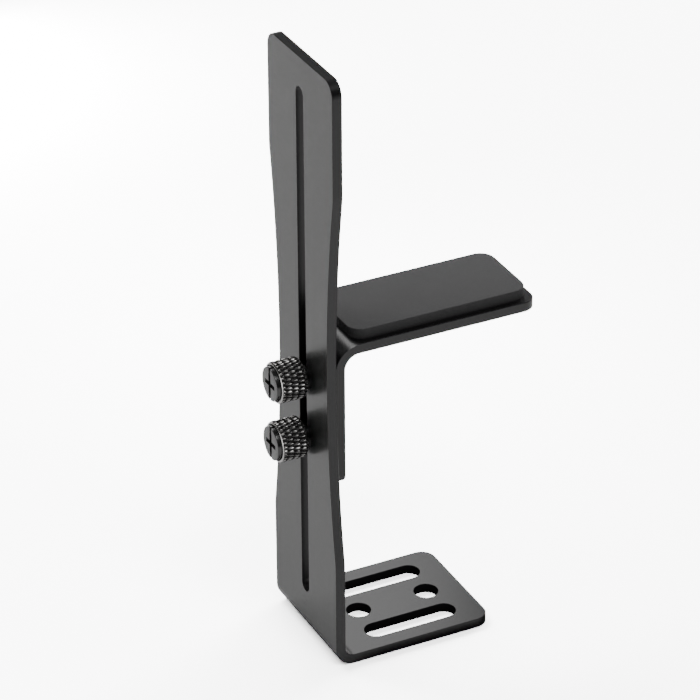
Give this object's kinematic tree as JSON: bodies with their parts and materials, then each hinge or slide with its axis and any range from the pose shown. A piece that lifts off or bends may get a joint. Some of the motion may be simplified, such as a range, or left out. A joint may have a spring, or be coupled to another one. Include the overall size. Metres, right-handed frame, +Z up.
{
  "type": "graphics card support bracket",
  "caption": "Folded metal bracket that stands beside a graphics card: slotted upright on a foot, a sliding arm with a soft pad, and two knurled thumb screws.",
  "frame": {"origin": "the middle of the two round foot holes, on the sole of the foot", "axes": "+X out along the foot and under the arm, +Z up the upright, thumb screws on the -X side"},
  "size_m": [0.052, 0.027, 0.125],
  "materials": {
    "coated_steel": "satin",
    "pad_foam": "matte",
    "black_screw": "satin"
  },
  "bodies": {
    "upright": {"upright_bracket": "coated_steel"},
    "arm": {"support_arm": "coated_steel", "support_pad": "pad_foam"},
    "upper_screw": {"upper_thumb_screw": "black_screw"},
    "lower_screw": {"lower_thumb_screw": "black_screw"}
  },
  "joints": [
    {"name": "arm_slide", "type": "slide", "parent": "upright", "child": "arm", "axis": [0, 0, 1], "range_m": [-0.034, 0.0588]},
    {"name": "upper_screw_turn", "type": "hinge", "parent": "arm", "child": "upper_screw", "pos_m": [-0.019, 0, 0.0586], "axis": [1, 0, 0], "continuous": true},
    {"name": "lower_screw_turn", "type": "hinge", "parent": "arm", "child": "lower_screw", "pos_m": [-0.019, 0, 0.0456], "axis": [1, 0, 0], "continuous": true}
  ]
}
